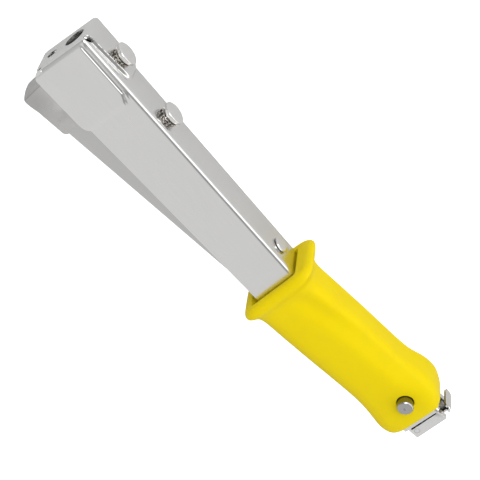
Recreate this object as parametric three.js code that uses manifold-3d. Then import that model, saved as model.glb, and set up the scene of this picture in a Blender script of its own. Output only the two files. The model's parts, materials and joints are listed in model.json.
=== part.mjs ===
// Hammer tacker lying on its side: +X runs from the striking head to the butt,
// +Y from the strike side to the top web, +Z up to the near side. Millimetres.
import * as THREE from "three";
import { mergeVertices } from "three/addons/utils/BufferGeometryUtils.js";
import Module from "manifold-3d";

const wasm = await Module();
wasm.setup();

// ---- driving sizes ----
const gap = 0.3; // between pieces that touch
const sheet = 1.2; // folded steel of housing and magazine
const neckLength = 172; // front of the head to the guard
const handleLength = 121.5; // guard to the rear end of the housing
const stapleCrown = 12.9; // outside width of the staples
const stapleWire = 1.2;
const stapleClear = 0.75; // beside a staple, in the track
const trackSheet = 1.3;
const bladeSheet = 1.3;
const noseSheet = 0.8;
const sideClear = 0.5; // magazine to housing, each side
const headFlare = 1.25; // the head is this much wider each side than the handle

// widths, worked outwards from the staple
const exitHalf = stapleCrown / 2 + stapleClear - 0.1;
const trackHalf = stapleCrown / 2 + stapleClear + trackSheet;
const channelHalf = trackHalf + gap + sheet;
const noseHalf = channelHalf + gap + noseSheet;
const guardHalf = channelHalf + sideClear + sheet;
const headHalf = guardHalf + headFlare;

// lengths along the top
const guardX = neckLength;
const bendX = guardX + 3; // where the web turns up into the handle
const shellEndX = guardX + handleLength; // rear end of the housing at mid height
const webRise = 12.66; // how far the handle's web climbs to the rear end
const lowerRise = 13.84; // and its lower edge
const handleAngle = Math.atan(webRise / (shellEndX - bendX));
const lowerAngle = Math.atan(lowerRise / handleLength);

// depths of the housing below the web
const headDepth = 35.4; // at the lobes
const neckDepth = 31.7; // just behind the lobes
const guardDepth = 26.5;
const lobeRearX = 41;
const tabDepth = 33; // front tab
const frontCorner = 3; // radius of the front corners
const webCorner = 2.2; // radius of the folded top edges
const padHigh = 2; // pressed pad on the web, under the front screw
const padRear = 33;
const padRound = 1.4;
const sidePad = 0.6; // the head's side walls are pressed out this much

// the magazine, measured from its pivot: rearwards and up
const pivot = new THREE.Vector2(shellEndX - 19.5, 0.9);
const noseReach = pivot.x - 4.4; // to the front of the nose sides
const noseDrop = 35.84; // how far the magazine's front hangs open
const magazineAngle = Math.asin(noseDrop / noseReach);
const channelFloor = -12.6;
const channelTop = 5;
const channelRear = 12.6;
const noseBulge = 2.8; // the nose front swells this much further
const noseFloor = channelFloor - 1.5;
const noseLength = 28;
const railTop = -2.5;
const bladeX = 9.4; // middle of the driver blade
const bladeTip = -headDepth;

const shortRound = 18; // segments round a small piece

// ---- solids ----
function solid(geometry) {
  const bare = geometry.index ? geometry.toNonIndexed() : geometry.clone();
  const only = new THREE.BufferGeometry();
  only.setAttribute("position", bare.getAttribute("position"));
  const merged = mergeVertices(only, 1e-4);
  return new wasm.Manifold(
    new wasm.Mesh({
      numProp: 3,
      vertProperties: merged.attributes.position.array,
      triVerts: new Uint32Array(merged.index.array),
    }),
  );
}

function surface(shape) {
  const mesh = shape.getMesh();
  const geometry = new THREE.BufferGeometry();
  const points = new Float32Array(mesh.vertProperties);
  geometry.setAttribute("position", new THREE.BufferAttribute(points, 3));
  geometry.setIndex(new THREE.BufferAttribute(new Uint32Array(mesh.triVerts), 1));
  geometry.computeVertexNormals();
  return geometry;
}

const join = (...shapes) => shapes.reduce((a, b) => a.add(b));
const cut = (shape, ...tools) => tools.reduce((a, b) => a.subtract(b), shape);

// a box from its low corner to its high corner
function block(x0, x1, y0, y1, z0, z1) {
  const geometry = new THREE.BoxGeometry(x1 - x0, y1 - y0, z1 - z0);
  geometry.translate((x0 + x1) / 2, (y0 + y1) / 2, (z0 + z1) / 2);
  return solid(geometry);
}

function outline(points) {
  const shape = new THREE.Shape();
  points.forEach(([a, b], i) => (i ? shape.lineTo(a, b) : shape.moveTo(a, b)));
  shape.closePath();
  return shape;
}

// a side outline in X and Y, as thick as z0 to z1
function sidePlate(shape, z0, z1, options = {}) {
  const geometry = new THREE.ExtrudeGeometry(shape, {
    depth: z1 - z0,
    bevelEnabled: false,
    curveSegments: 8,
    ...options,
  });
  geometry.translate(0, 0, z0);
  return solid(geometry);
}

// an outline across X, its own axes being Z and Y, from x0 to x1
function crossPlate(shape, x0, x1, options = {}) {
  const geometry = new THREE.ExtrudeGeometry(shape, {
    depth: x1 - x0,
    bevelEnabled: false,
    curveSegments: 8,
    ...options,
  });
  geometry.rotateY(Math.PI / 2);
  geometry.scale(1, 1, -1);
  const flipped = geometry.toNonIndexed ? geometry : geometry;
  turnFaces(flipped);
  flipped.translate(x0, 0, 0);
  return solid(flipped);
}

function turnFaces(geometry) {
  const place = geometry.getAttribute("position");
  for (let i = 0; i < place.count; i += 3) {
    for (let k = 0; k < 3; k += 1) {
      const held = place.getComponent(i + 1, k);
      place.setComponent(i + 1, k, place.getComponent(i + 2, k));
      place.setComponent(i + 2, k, held);
    }
  }
}

// a plan outline in X and Z, from y0 up to y1, its top edges rounded by round
function planPlate(shape, y0, y1, round = 0) {
  const options = round
    ? { bevelEnabled: true, bevelSize: round, bevelThickness: round, bevelOffset: -round }
    : { bevelEnabled: false };
  const geometry = new THREE.ExtrudeGeometry(shape, {
    depth: y1 - y0 - round,
    curveSegments: 6,
    bevelSegments: 5,
    ...options,
  });
  geometry.rotateX(-Math.PI / 2);
  geometry.translate(0, y0, 0);
  return solid(geometry);
}

// round bar along an axis
function bar(radius, from, to, axis, centre, segments = shortRound) {
  const geometry = new THREE.CylinderGeometry(radius, radius, to - from, segments);
  if (axis === "x") geometry.rotateZ(-Math.PI / 2);
  if (axis === "z") geometry.rotateX(Math.PI / 2);
  const middle = new THREE.Vector3(...centre);
  middle[axis] = (from + to) / 2;
  geometry.translate(middle.x, middle.y, middle.z);
  return solid(geometry);
}

// a turned piece: pairs of radius and height along an axis, from a centre
function turned(pairs, axis, centre, segments = shortRound) {
  const points = pairs.map(([r, h]) => new THREE.Vector2(r, h));
  const geometry = new THREE.LatheGeometry(points, segments);
  if (axis === "x") geometry.rotateZ(-Math.PI / 2);
  if (axis === "z") geometry.rotateX(Math.PI / 2);
  geometry.translate(...centre);
  return solid(geometry);
}

// the lie of the housing's top and lower edges
const webTop = (x) => (x < bendX ? 0 : (x - bendX) * Math.tan(handleAngle));
const lowerEdge = (x) =>
  x < guardX
    ? -neckDepth + ((x - lobeRearX) * (neckDepth - guardDepth)) / (guardX - lobeRearX)
    : -guardDepth + (x - guardX) * Math.tan(lowerAngle);
const halfAt = (x) => headHalf + ((guardHalf - headHalf) * Math.min(x, guardX)) / guardX;
const endLean = Math.tan(lowerAngle);

const group = new THREE.Group();
const magazine = new THREE.Group(); // turned about the pivot, X rearwards, Y up
magazine.position.set(pivot.x, pivot.y, 0);
magazine.rotation.z = magazineAngle;
group.add(magazine);

const finishes = {
  nickel: [0xcfcfd0, 0.28, 1],
  steel: [0xb4b5b8, 0.36, 1],
  darkSteel: [0x77787c, 0.45, 1],
  spring: [0x8d9096, 0.35, 1],
  rubber: [0x2a2a2c, 0.85, 0],
  sleeve: [0xf2d80f, 0.55, 0],
};

function place(name, shape, finish, parent = group) {
  const [color, roughness, metalness] = finishes[finish];
  const material = new THREE.MeshStandardMaterial({ color, roughness, metalness });
  const mesh = new THREE.Mesh(surface(shape), material);
  mesh.name = name;
  parent.add(mesh);
  return mesh;
}

// ---- housing: one folded sheet, a U open towards the strike side ----
const studX = [22.2, 61.9];
const studHole = 3.3;
const rivetX = guardX - 15;
const stopX = [pivot.x + 3.5, pivot.x + 11.3]; // rest stop under the web
const stopHalf = guardHalf - sheet - 0.9;
const tabHole = { y: -9.6, r: 6 };
const tabSight = { y: -25, r: 3.1 };
const pinHole = 3.8;

function planOf(inset, rearX) {
  const half = (x) => halfAt(x) - inset;
  const corner = Math.max(frontCorner - inset, 0.6);
  const shape = new THREE.Shape();
  shape.moveTo(inset + corner, -half(0));
  shape.lineTo(guardX, -half(guardX));
  shape.lineTo(rearX, -half(guardX));
  shape.lineTo(rearX, half(guardX));
  shape.lineTo(guardX, half(guardX));
  shape.lineTo(inset + corner, half(0));
  shape.quadraticCurveTo(inset, half(0), inset, half(0) - corner);
  shape.lineTo(inset, -half(0) + corner);
  shape.quadraticCurveTo(inset, -half(0), inset + corner, -half(0));
  return shape;
}

function handlePlan(inset) {
  const half = guardHalf - inset;
  const far = shellEndX + 20;
  return outline([[guardX + 1, -half], [far, -half], [far, half], [guardX + 1, half]]);
}

// everything under the web, as deep as asked, down to y = -70
function underWeb(inset) {
  const far = shellEndX + 20;
  return outline([
    [inset - 1, -inset],
    [bendX - inset * 0.05, -inset],
    [far, webTop(far) - inset / Math.cos(handleAngle)],
    [far, -70],
    [inset - 1, -70],
  ]);
}

function housingBulk(inset) {
  const head = planPlate(planOf(inset, bendX + 14), -70, -inset, webCorner - inset * 0.8);
  const handle = planPlate(handlePlan(inset), -70, 30);
  const whole = join(head, handle);
  return whole.intersect(sidePlate(underWeb(inset), -20, 20));
}

function housingSide() {
  const s = new THREE.Shape();
  const endTop = webTop(shellEndX) + 2;
  s.moveTo(-1, 4);
  s.lineTo(-1, -30.4);
  s.lineTo(0, -30.4);
  s.quadraticCurveTo(0.2, -headDepth, 5.6, -headDepth);
  s.lineTo(34.5, -34.4);
  s.quadraticCurveTo(38.8, -34, lobeRearX, lowerEdge(lobeRearX));
  s.lineTo(guardX, lowerEdge(guardX));
  const low = lowerEdge(shellEndX);
  s.lineTo(shellEndX - low * endLean, low);
  s.lineTo(shellEndX - endTop * endLean, endTop);
  s.lineTo(bendX + 0.5, 4);
  return s;
}

function bead(from, to, radius) {
  const a = new THREE.Vector3(...from);
  const b = new THREE.Vector3(...to);
  const geometry = new THREE.CapsuleGeometry(radius, a.distanceTo(b), 3, 10);
  const lean = new THREE.Quaternion();
  lean.setFromUnitVectors(new THREE.Vector3(0, 1, 0), b.clone().sub(a).normalize());
  geometry.applyQuaternion(lean);
  const middle = a.add(b).multiplyScalar(0.5);
  geometry.scale(1, 1, 0.55);
  geometry.translate(middle.x, middle.y, middle.z);
  return solid(geometry);
}

// plan of the web's pad: it narrows towards the rear and stops short of the near edge
function webPadPlan(inset) {
  const front = 0.2 + inset;
  const rear = padRear - inset;
  const near = [headHalf - 2.35 - inset, headHalf - 6.35 - inset];
  const far = [headHalf - 1.55 - inset, headHalf - 2.55 - inset];
  const round = 2.6 - inset;
  const s = new THREE.Shape();
  s.moveTo(front, far[0] - round);
  s.quadraticCurveTo(front, far[0], front + round, far[0]);
  s.lineTo(rear - 2 * round, far[1]);
  s.quadraticCurveTo(rear, far[1], rear, far[1] - 2 * round);
  s.lineTo(rear, -near[1] + 2 * round);
  s.quadraticCurveTo(rear, -near[1], rear - 2 * round, -near[1]);
  s.lineTo(front + round, -near[0]);
  s.quadraticCurveTo(front, -near[0], front, -near[0] + round);
  return s;
}

function sidePadRegion() {
  const s = new THREE.Shape();
  s.moveTo(1.8, -3.9);
  s.lineTo(36.5, -3.9);
  s.quadraticCurveTo(39.5, -4.6, lobeRearX - 0.2, -8);
  s.lineTo(lobeRearX - 0.6, -60);
  s.lineTo(1.8, -60);
  return sidePlate(s, -20, 20);
}

function housingShell() {
  let shell = cut(housingBulk(0), housingBulk(sheet));
  const region = sidePadRegion();
  const pressed = cut(housingBulk(-sidePad), housingBulk(sheet - sidePad));
  shell = join(cut(shell, region), pressed.intersect(region));
  const webPad = planPlate(webPadPlan(0), padRound - sheet, padHigh, padRound);
  shell = cut(join(shell, webPad), planPlate(webPadPlan(sheet), -sheet - 1, padHigh - sheet));
  shell = shell.intersect(sidePlate(housingSide(), -20, 20));
  // the front tab stops short of the lobes, with relief notches at its corners
  const wall = sheet + 1.4;
  const tabHalf = headHalf - 3.05;
  const reliefs = [-1, 1].map((side) =>
    block(-2, wall, -60, -29.4, side * tabHalf - 0.55, side * tabHalf + 0.55),
  );
  shell = cut(shell, block(-2, wall, -60, -tabDepth, -tabHalf, tabHalf), ...reliefs);
  const holes = [
    bar(tabHole.r, -2, 4, "x", [0, tabHole.y, 0], 24),
    bar(tabSight.r, -2, 4, "x", [0, tabSight.y, 0]),
    ...studX.map((x) => bar(studHole, -4, 4, "y", [x, 0, 0])),
    ...[-1, 1].map((side) => bar(1.3, -4, 3, "y", [3.4, 0, side * (headHalf - 1.75)], 12)),
    bar(2.4, -4, 3, "y", [rivetX, 0, 0]),
    bar(2.4, 5, 20, "y", [(stopX[0] + stopX[1]) / 2, 0, 0]),
    bar(pinHole, -20, 20, "z", [pivot.x, pivot.y, 0]),
  ];
  shell = cut(shell, ...holes);
  // a pressed bead beside each top edge
  const edge = (x) => halfAt(x) - 0.15;
  const beads = [
    bead([3.4, -2.3, edge(3)], [36, -2.3, edge(36)], 1.3),
    bead([3.4, -2.3, -edge(3)], [36, -2.3, -edge(36)], 1.3),
  ];
  const inside = housingBulk(sheet);
  beads.forEach((one) => {
    shell = shell.add(one.subtract(inside));
  });
  return shell;
}

place("housing_shell", housingShell(), "nickel");

// ---- driver block and what holds it ----
const blockX = [bladeX + bladeSheet / 2 + gap, 73.5];
const blockY = [-12.4, -sheet - gap];
const blockHalf = headHalf - sheet - 3.75;
const stepHalf = headHalf - sheet - 7.15; // the step that fills the pad from below
const stepRear = padRear - 5;
const screwTip = -11.2;

function driverBlock() {
  const side = outline([
    [blockX[0], blockY[1]],
    [blockX[0], blockY[0] + 0.8],
    [blockX[0] + 0.8, blockY[0]],
    [blockX[1] - 5, blockY[0]],
    [blockX[1], blockY[0] + 5],
    [blockX[1], blockY[1]],
  ]);
  const stepTop = padHigh - sheet - gap;
  const step = block(blockX[0], stepRear, blockY[0] + 1, stepTop, -stepHalf, stepHalf);
  let body = join(sidePlate(side, -blockHalf, blockHalf), step);
  body = cut(
    body,
    ...studX.map((x) => bar(studHole, -20, 3, "y", [x, 0, 0])),
    bar(2.3, 0, blockX[0] + 8, "x", [0, tabHole.y, 0]),
  );
  return body;
}

place("driver_block", driverBlock(), "darkSteel");

const bladeTop = -3.2;
const bladeHalf = stapleCrown / 2;
let blade = block(
  bladeX - bladeSheet / 2,
  bladeX + bladeSheet / 2,
  bladeTip,
  bladeTop,
  -bladeHalf,
  bladeHalf,
);
blade = cut(blade, bar(2.3, 0, 20, "x", [0, tabHole.y, 0]));
place("driver_blade", blade, "spring");

const screwFace = bladeX - bladeSheet / 2 - gap;
place(
  "blade_screw",
  cut(
    turned(
      [
        [0, screwFace - 3.6],
        [3.6, screwFace - 3.6],
        [4.3, screwFace - 2.9],
        [4.3, screwFace],
        [2, screwFace],
        [2, blockX[0] + 7],
        [0, blockX[0] + 7],
      ],
      "x",
      [0, tabHole.y, 0],
      20,
    ),
    block(0, screwFace - 2.2, tabHole.y - 0.5, tabHole.y + 0.5, -6, 6),
  ),
  "steel",
);

const washer = { inner: 3.3, outer: 5.3, low: gap, high: 2.5 };
const studHead = { r: 6.3, low: 2.8, high: 4.9 };

function headScrew(x, lift) {
  return turned(
    [
      [0, screwTip],
      [2.2, screwTip],
      [2.8, screwTip + 0.8],
      [2.8, studHead.low + lift],
      [studHead.r - 0.4, studHead.low + lift],
      [studHead.r, studHead.low + 0.4 + lift],
      [studHead.r, studHead.high - 0.7 + lift],
      [studHead.r - 0.3, studHead.high - 0.2 + lift],
      [studHead.r - 0.9, studHead.high + lift],
      [0, studHead.high + lift],
    ],
    "y",
    [x, 0, 0],
    28,
  );
}

function lockWasher(x, lift) {
  const ring = turned(
    [
      [washer.inner, washer.low],
      [washer.outer, washer.low],
      [washer.outer, washer.high],
      [washer.inner, washer.high],
      [washer.inner, washer.low],
    ],
    "y",
    [x, 0, 0],
    24,
  );
  return cut(ring, block(x + 2, x + 7, -1, 4, -0.45, 0.45)).translate([0, lift, 0]);
}

["front", "rear"].forEach((word, i) => {
  const lift = i ? 0 : padHigh;
  place("head_screw_" + word, headScrew(studX[i], lift), "nickel");
  place("lock_washer_" + word, lockWasher(studX[i], lift), "darkSteel");
});

// rubber under the block, met by the magazine at the end of its swing
const padTop = blockY[0] - gap;
place("bumper_pad", block(44, 66, padTop - 1.5, padTop, -6.5, 6.5), "rubber");

// ---- leaf spring that swings the magazine out again ----
const leafTop = -sheet - gap;
const leafSheet = 0.8;
const leafHalf = 6;
const leafTipX = rivetX - 61;

// a point of the magazine's frame, in the housing's frame
function fromMagazine(u, v) {
  const c = Math.cos(magazineAngle);
  const s = Math.sin(magazineAngle);
  return [pivot.x + u * c - v * s, pivot.y + u * s + v * c];
}

const trackTop = railTop + gap + stapleWire + 1.9; // top of the track's lips
function leafSpring() {
  const restY = fromMagazine(leafTipX - pivot.x, trackTop)[1] + gap + 0.6;
  const upper = [];
  const steps = 14;
  for (let i = 0; i <= steps; i += 1) {
    const t = i / steps;
    const x = rivetX - 8 - t * (rivetX - 8 - leafTipX);
    upper.push([x, leafTop + (restY - leafTop) * t * t * (1.5 - 0.5 * t)]);
  }
  const curl = upper[steps];
  const under = upper.map(([x, y]) => [x + 0.1, y - leafSheet]).reverse();
  const edge = [
    [rivetX + 7, leafTop],
    ...upper,
    [curl[0] - 3.2, curl[1] + 0.5],
    [curl[0] - 3.4, curl[1] - leafSheet + 0.5],
    ...under,
    [rivetX + 7, leafTop - leafSheet],
  ];
  const leaf = sidePlate(outline(edge), -leafHalf, leafHalf);
  return cut(leaf, bar(2.4, -6, 3, "y", [rivetX, 0, 0]));
}

place("return_spring", leafSpring(), "spring");
const rivetEnd = leafTop - leafSheet - gap;
place(
  "spring_rivet",
  turned(
    [
      [0, rivetEnd - 1.4],
      [3.2, rivetEnd - 1.4],
      [3.8, rivetEnd],
      [2, rivetEnd],
      [2, gap],
      [4.7, gap],
      [5, gap + 0.4],
      [4.6, gap + 1],
      [3, gap + 1.3],
      [0, gap + 1.4],
    ],
    "y",
    [rivetX, 0, 0],
    24,
  ),
  "nickel",
);

// ---- rest stop: a block under the web behind the pivot ----
const stopMiddle = (stopX[0] + stopX[1]) / 2;
function stopBlock() {
  const low = (x) => fromMagazine(x - pivot.x + channelTop * Math.sin(magazineAngle), channelTop)[1];
  const high = (x) => webTop(x) - sheet / Math.cos(handleAngle) - gap;
  const side = outline([
    [stopX[0], low(stopX[0]) + gap],
    [stopX[1], low(stopX[1]) + gap],
    [stopX[1], high(stopX[1])],
    [stopX[0], high(stopX[0])],
  ]);
  return cut(sidePlate(side, -stopHalf, stopHalf), bar(2.3, 0, 20, "y", [stopMiddle, 0, 0]));
}

place("stop_block", stopBlock(), "darkSteel");
place(
  "stop_rivet",
  bar(1.95, webTop(stopMiddle) - 4.2, webTop(stopMiddle) - 0.3, "y", [stopMiddle, 0, 0]),
  "steel",
);

// ---- magazine: folded channel with the nose plate, guide and track ----
const channelFront = -noseReach + noseSheet + gap;
const bladeReach = noseReach - 5.6; // rear face of the blade's path, from the pivot

// a U across X, open upwards
function channel(half, floor, top, thick, front, rear) {
  const u = outline([
    [-half, top],
    [-half, floor],
    [half, floor],
    [half, top],
    [half - thick, top],
    [half - thick, floor + thick],
    [-half + thick, floor + thick],
    [-half + thick, top],
  ]);
  return crossPlate(u, front, rear);
}

function magazineChannel() {
  let body = channel(channelHalf, channelFloor, channelTop, sheet, channelFront, channelRear);
  const noseTop = outline([
    [channelFront - 1, channelTop + 1],
    [channelFront - 1, channelTop - 7],
    [channelFront + 3, channelTop - 3],
    [channelFront + 26, channelTop + 1],
  ]);
  body = cut(
    body,
    sidePlate(noseTop, -20, 20),
    block(channelFront - 1, -bladeReach + 0.4, -20, channelFloor + 3, -exitHalf, exitHalf),
    bar(pinHole, -20, 20, "z", [0, 0, 0]),
    block(5.2, 9.8, -20, -5, -2.9, 2.9), // catch slot for the latch
  );
  return body;
}

place("magazine_channel", magazineChannel(), "steel", magazine);

function nosePlan(inset) {
  const half = noseHalf - inset;
  const shape = new THREE.Shape();
  shape.moveTo(-noseReach + noseLength, -half);
  shape.lineTo(-noseReach + noseLength, half);
  shape.lineTo(-noseReach + inset * 0.4, half);
  shape.quadraticCurveTo(-noseReach - 2 * noseBulge + 2 * inset, 0, -noseReach + inset * 0.4, -half);
  return shape;
}

function nosePlate() {
  const high = 4;
  const body = planPlate(nosePlan(0), noseFloor - 1.4, high);
  const hollow = planPlate(nosePlan(noseSheet), noseFloor + noseSheet, high + 1);
  const side = new THREE.Shape();
  side.moveTo(-noseReach - 5, high);
  side.lineTo(-noseReach - 5, noseFloor + 1.8);
  side.quadraticCurveTo(-noseReach - 1.4, noseFloor - 1.2, -noseReach + 3.4, noseFloor - 1);
  side.lineTo(-noseReach + 9, noseFloor);
  side.lineTo(-noseReach + noseLength - 1.6, noseFloor);
  side.quadraticCurveTo(
    -noseReach + noseLength,
    noseFloor,
    -noseReach + noseLength,
    noseFloor + 1.6,
  );
  side.lineTo(-noseReach + noseLength - 1.4, high);
  const shaped = cut(body, hollow).intersect(sidePlate(side, -20, 20));
  const exit = block(-bladeReach - 5, -bladeReach + 0.4, -20, noseFloor + 3, -exitHalf, exitHalf);
  return cut(shaped, exit);
}

place("nose_plate", nosePlate(), "steel", magazine);

const guideHalf = channelHalf - sheet - 0.4;
const guideFace = -bladeReach - 3.75; // front face that the staples meet
place(
  "front_guide",
  block(guideFace - 1.1, guideFace, channelFloor + sheet + 0.4, 1.5, -guideHalf, guideHalf),
  "spring",
  magazine,
);

const trackFloor = channelFloor + sheet + gap;
const trackFront = -bladeReach + 0.3;
const trackRear = -14;

function stapleTrack() {
  const inner = trackHalf - trackSheet;
  const lip = 3.2;
  const lipLow = trackTop - trackSheet;
  const u = outline([
    [-trackHalf, trackTop],
    [-trackHalf, trackFloor],
    [trackHalf, trackFloor],
    [trackHalf, trackTop],
    [inner - lip, trackTop],
    [inner - lip, lipLow],
    [inner, lipLow],
    [inner, trackFloor + trackSheet],
    [-inner, trackFloor + trackSheet],
    [-inner, lipLow],
    [-inner + lip, lipLow],
    [-inner + lip, trackTop],
  ]);
  return crossPlate(u, trackFront, trackRear);
}

place("staple_track", stapleTrack(), "darkSteel", magazine);

// ---- rail that draws out of the butt, with rod, spring and pusher ----
const railHalf = stapleCrown / 2 - stapleWire - 0.25;
const railFloor = trackFloor + trackSheet + gap;
const railFront = trackFront + 0.6;
const railRear = 20.6;
const rivetU = 17.4; // cross rivet of rail and cap
const railSheet = 1.1;
const slotHalf = 1.2;
const slotLength = 148; // leaves the pusher its travel
const rodRadius = 1.1;
const rodY = (railFloor + railTop - railSheet) / 2;
const capFront = channelRear + 0.6;

function stapleRail() {
  const u = outline([
    [-railHalf, railFloor],
    [-railHalf + railSheet, railFloor],
    [-railHalf + railSheet, railTop - railSheet],
    [railHalf - railSheet, railTop - railSheet],
    [railHalf - railSheet, railFloor],
    [railHalf, railFloor],
    [railHalf, railTop],
    [-railHalf, railTop],
  ]);
  const slot = block(railFront + 3, railFront + 3 + slotLength, railTop - 3, railTop + 1, -slotHalf, slotHalf);
  return cut(crossPlate(u, railFront, railRear), slot, bar(1.3, -20, 20, "z", [rivetU, rodY, 0]));
}

place("staple_rail", stapleRail(), "steel", magazine);

const bracketX = [railFront + 0.4, railFront + 1.8];
const bracketHalf = railHalf - railSheet - gap;
place(
  "rod_bracket",
  cut(
    block(...bracketX, railFloor + 0.2, railTop - railSheet - gap, -bracketHalf, bracketHalf),
    bar(rodRadius + gap, -300, 0, "x", [0, rodY, 0]),
  ),
  "steel",
  magazine,
);
const rodRear = 13.2;
place("guide_rod", bar(rodRadius, bracketX[0], rodRear, "x", [0, rodY, 0], 12), "spring", magazine);

// rear bracket inside the rail that carries the rod's other end
const rearBracketX = [10.2, 12.2];
place(
  "rod_anchor",
  cut(
    block(...rearBracketX, railFloor + 0.2, railTop - railSheet - gap, -bracketHalf, bracketHalf),
    bar(rodRadius + gap, -300, 40, "x", [0, rodY, 0]),
  ),
  "steel",
  magazine,
);

const pusherLength = 17;
const pusherFront = railFront + 1.2;
const pusherTop = railTop + gap + stapleWire;
const tongueX = [pusherFront + 8.5, pusherFront + 11.5];

function pusherBody() {
  const half = stapleCrown / 2;
  const inner = railHalf + gap + 0.1;
  const u = outline([
    [-half, railFloor + 0.3],
    [-inner, railFloor + 0.3],
    [-inner, railTop + gap],
    [inner, railTop + gap],
    [inner, railFloor + 0.3],
    [half, railFloor + 0.3],
    [half, pusherTop],
    [-half, pusherTop],
  ]);
  const saddle = crossPlate(u, pusherFront, pusherFront + pusherLength);
  const low = rodY - rodRadius - 1.1;
  const tongue = block(...tongueX, low, railTop + 0.6, -slotHalf + gap, slotHalf - gap);
  const foot = block(...tongueX, low, rodY + rodRadius + 0.9, -bracketHalf + 0.2, bracketHalf - 0.2);
  const hole = bar(rodRadius + gap, -300, 0, "x", [0, rodY, 0], 12);
  return cut(join(saddle, tongue, foot), hole);
}

place("pusher", pusherBody(), "spring", magazine);

class Coil extends THREE.Curve {
  constructor(radius, turns, from, to, y) {
    super();
    Object.assign(this, { radius, turns, from, to, y });
  }
  getPoint(t, target = new THREE.Vector3()) {
    const a = 2 * Math.PI * this.turns * t;
    return target.set(
      this.from + (this.to - this.from) * t,
      this.y + this.radius * Math.cos(a),
      this.radius * Math.sin(a),
    );
  }
}

function wireAlong(path, radius, steps, sides = 5) {
  const ring = [];
  for (let i = 0; i < sides; i += 1) {
    const a = (2 * Math.PI * i) / sides;
    ring.push([radius * Math.cos(a), radius * Math.sin(a)]);
  }
  return solid(
    new THREE.ExtrudeGeometry(outline(ring), { steps, bevelEnabled: false, extrudePath: path }),
  );
}

const coilWire = 0.3;
const coilRadius = rodRadius + gap + coilWire + 0.12;
const coilTurns = 34;
const coilPath = new Coil(
  coilRadius,
  coilTurns,
  tongueX[1] + gap + coilWire,
  rearBracketX[0] - gap - coilWire,
  rodY,
);
place("pusher_spring", wireAlong(coilPath, coilWire, coilTurns * 12), "spring", magazine);

// ---- tail cap: sheet box on the rail's end, with the latch inside ----
const capHalf = channelHalf - 0.8;
const leverSheet = 1.2;
const capLow = channelFloor - leverSheet - 2 * gap - sheet;
const capHigh = 6.6;
const capRear = 27.4;
const latchHalf = capHalf - 4;
const padHalf = capHalf - 1.6;
const latchPin = { u: 23.3, v: -12, r: 1.3 };

function tailCap() {
  const outside = block(capFront, capRear, capLow, capHigh, -capHalf, capHalf);
  const hollow = block(
    capFront - 1,
    capRear - sheet,
    capLow + sheet,
    capHigh + 1,
    -capHalf + sheet,
    capHalf - sheet,
  );
  const flanges = [-1, 1].map((side) =>
    side > 0
      ? block(capFront, capRear, capHigh - sheet, capHigh, capHalf - 3.6, capHalf)
      : block(capFront, capRear, capHigh - sheet, capHigh, -capHalf, -capHalf + 3.6),
  );
  const body = join(cut(outside, hollow), ...flanges);
  return cut(
    body,
    block(capFront - 1, latchPin.u - 2.2, capLow - 1, channelFloor - gap + 0.1, -3, 3),
    block(capRear - 3, capRear + 1, 1.5, capHigh + 1, -capHalf + 3.6, capHalf - 3.6),
    bar(latchPin.r + gap, -20, 20, "z", [latchPin.u, latchPin.v, 0]),
    bar(1.3, -20, 20, "z", [rivetU, rodY, 0]),
  );
}

place("tail_cap", tailCap(), "nickel", magazine);

// cross rivet that ties rail and cap, with a spacer bush each side
const capInner = capHalf - sheet;
place(
  "tail_rivet",
  bar(1, -capHalf - 0.5, capHalf + 0.5, "z", [rivetU, rodY, 0], 12),
  "steel",
  magazine,
);
["near", "far"].forEach((word, i) => {
  const side = i ? -1 : 1;
  const a = side > 0 ? railHalf + gap : -capInner + gap;
  const b = side > 0 ? capInner - gap : -railHalf - gap;
  const tube = cut(
    bar(2.1, a, b, "z", [rivetU, rodY, 0], 14),
    bar(1.3, a - 1, b + 1, "z", [rivetU, rodY, 0], 14),
  );
  place("tail_bush_" + word, tube, "steel", magazine);
});

place(
  "latch_pin",
  bar(latchPin.r, -capHalf - 0.4, capHalf + 0.4, "z", [latchPin.u, latchPin.v, 0], 14),
  "steel",
  magazine,
);

// ---- latch lever: thumb pad above the cap, hook under the channel ----
const padV = 11.9;
function latchLever() {
  const t = leverSheet;
  const x = latchPin.u + 2.5;
  const low = channelFloor - gap - t;
  // hook arm, upright and curled pad are one bent sheet, with a boss on the pin
  const arm = outline([
    [5.9, low],
    [x, low],
    [x, latchPin.v + 3.6],
    [x - t, latchPin.v + 3.6],
    [x - t, low + t],
    [5.9, low + t],
  ]);
  const upright = block(x - t, x, latchPin.v + 3.2, padV - 2, -latchHalf, latchHalf);
  const pad = outline([
    [x - t, padV - 2.6],
    [x, padV - 2.6],
    [x, padV - 0.7],
    [x - 0.5, padV + 0.3],
    [x - 1.6, padV + 0.6],
    [x - 5.2, padV + 0.2],
    [x - 5.3, padV - 0.9],
    [x - 1.9, padV - 0.6],
  ]);
  const boss = bar(2.2, -2.3, 2.3, "z", [latchPin.u, latchPin.v, 0], 16);
  const bore = bar(latchPin.r + gap, -20, 20, "z", [latchPin.u, latchPin.v, 0], 16);
  const plate = join(
    sidePlate(arm, -2.3, 2.3),
    upright,
    sidePlate(pad, -padHalf, padHalf),
    boss,
  );
  return cut(plate, bore);
}

place("latch_lever", latchLever(), "nickel", magazine);

class Torsion extends THREE.Curve {
  constructor(radius, turns, z0, z1) {
    super();
    Object.assign(this, { radius, turns, z0, z1 });
  }
  getPoint(t, target = new THREE.Vector3()) {
    const a = 2 * Math.PI * this.turns * t;
    const x = latchPin.u - this.radius * Math.cos(a);
    return target.set(x, latchPin.v + this.radius * Math.sin(a), this.z0 + (this.z1 - this.z0) * t);
  }
}

place(
  "latch_spring",
  wireAlong(new Torsion(latchPin.r + 0.65, 4, 2.95, 5.4), 0.28, 56, 6),
  "spring",
  magazine,
);

// ---- grip sleeve: soft tube over the handle, flared at the guard ----
const ringLean = Math.tan(lowerAngle);
const ringPoints = 48;

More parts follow.
